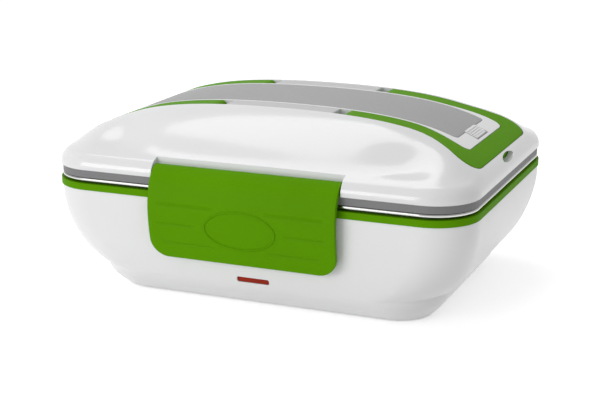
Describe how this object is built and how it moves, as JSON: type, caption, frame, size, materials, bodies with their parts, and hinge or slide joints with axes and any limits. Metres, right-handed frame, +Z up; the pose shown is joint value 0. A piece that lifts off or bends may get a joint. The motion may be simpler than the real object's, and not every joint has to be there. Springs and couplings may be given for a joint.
{
  "type": "electric lunch box",
  "caption": "Portable heated lunch box: tapered base with a heating plate, lift-out steel container, crowned latched lid with folding handles and a spoon compartment.",
  "frame": {"origin": "on the surface the box stands on, under the middle of its outline", "axes": "+X to the right along the long side, -Y towards the front latch, +Z up"},
  "size_m": [0.24, 0.1854, 0.105],
  "materials": {
    "base_white": "satin white",
    "pan_white": "satin white",
    "green": "gloss green",
    "lid_white": "satin white",
    "cover_grey": "matte grey",
    "rail_grey": "matte light grey",
    "seal_grey": "soft grey",
    "tub_grey": "matte",
    "steel": "polished rim, satin inside",
    "bowl_plastic": "translucent white",
    "plate_metal": "cast",
    "element_ceramic": "ceramic in a sleeve",
    "zinc": "plated",
    "cutout_black": "moulded",
    "lamp_red": "clear red",
    "bulb_glass": "clear",
    "inlet_black": "moulded",
    "contact_brass": "plated",
    "wire_insulation": "sleeved",
    "foot_rubber": "matte",
    "pin_steel": "ground"
  },
  "bodies": {
    "container": {"food_container": "steel"},
    "side_bowl": {"side_bowl": "bowl_plastic"},
    "lid": {"lid_shell": "lid_white", "lid_inner_panel": "lid_white", "lid_seal": "seal_grey", "front_rail": "rail_grey", "rear_rail": "rail_grey", "handle_pins": "pin_steel", "cover_hinge_pin": "pin_steel", "latch_pins": "pin_steel"},
    "front_latch": {"front_latch": "green"},
    "rear_latch": {"rear_latch": "green"},
    "right_handle": {"right_handle": "green"},
    "left_handle": {"left_handle": "green"},
    "spoon_cover": {"spoon_cover": "cover_grey"},
    "spoon": {"spoon": "bowl_plastic"},
    "base": {"base_shell": "base_white", "bottom_pan": "pan_white", "pan_screws": "zinc", "rubber_feet": "foot_rubber", "rim_trim": "green", "inner_tub": "tub_grey", "heater_plate": "plate_metal", "heating_element": "element_ceramic", "clamp_strap": "zinc", "strap_screws": "zinc", "thermal_cutout": "cutout_black", "lamp_window": "lamp_red", "indicator_lamp": "bulb_glass", "power_inlet": "inlet_black", "inlet_contacts": "contact_brass", "live_wire": "wire_insulation", "neutral_wire": "wire_insulation", "link_wire": "wire_insulation", "lamp_lead_left": "wire_insulation", "lamp_lead_right": "wire_insulation"}
  },
  "joints": [
    {"name": "lid_lift", "type": "slide", "parent": "base", "child": "lid", "axis": [0, 0, 1], "range_m": [0, 0.14]},
    {"name": "container_lift", "type": "slide", "parent": "base", "child": "container", "axis": [0, 0, 1], "range_m": [0, 0.0561]},
    {"name": "side_bowl_lift", "type": "slide", "parent": "container", "child": "side_bowl", "axis": [0, 0, 1], "range_m": [0, 0.0393]},
    {"name": "front_latch_hinge", "type": "hinge", "parent": "lid", "child": "front_latch", "pos_m": [0, -0.0827, 0.0751], "axis": [-1, 0, 0], "range_deg": [0, 105]},
    {"name": "rear_latch_hinge", "type": "hinge", "parent": "lid", "child": "rear_latch", "pos_m": [0, 0.0827, 0.0751], "axis": [1, 0, 0], "range_deg": [0, 105]},
    {"name": "right_handle_hinge", "type": "hinge", "parent": "lid", "child": "right_handle", "pos_m": [0.039, 0, 0.10139], "axis": [0, -1, 0], "range_deg": [0, 130]},
    {"name": "left_handle_hinge", "type": "hinge", "parent": "lid", "child": "left_handle", "pos_m": [-0.039, 0, 0.10139], "axis": [0, 1, 0], "range_deg": [0, 130]},
    {"name": "spoon_cover_hinge", "type": "hinge", "parent": "lid", "child": "spoon_cover", "pos_m": [-0.0936, 0, 0.091], "axis": [0, -1, 0], "range_deg": [0, 95]},
    {"name": "spoon_lift", "type": "slide", "parent": "lid", "child": "spoon", "axis": [0, 0, 1], "range_m": [0, 0.015]}
  ],
  "couplings": [
    {"joint": "container_lift", "follows": "lid_lift", "ratio": 0.4},
    {"joint": "side_bowl_lift", "follows": "lid_lift", "ratio": 0.28},
    {"joint": "spoon_lift", "follows": "spoon_cover_hinge", "m_per_rad": 0.009}
  ]
}
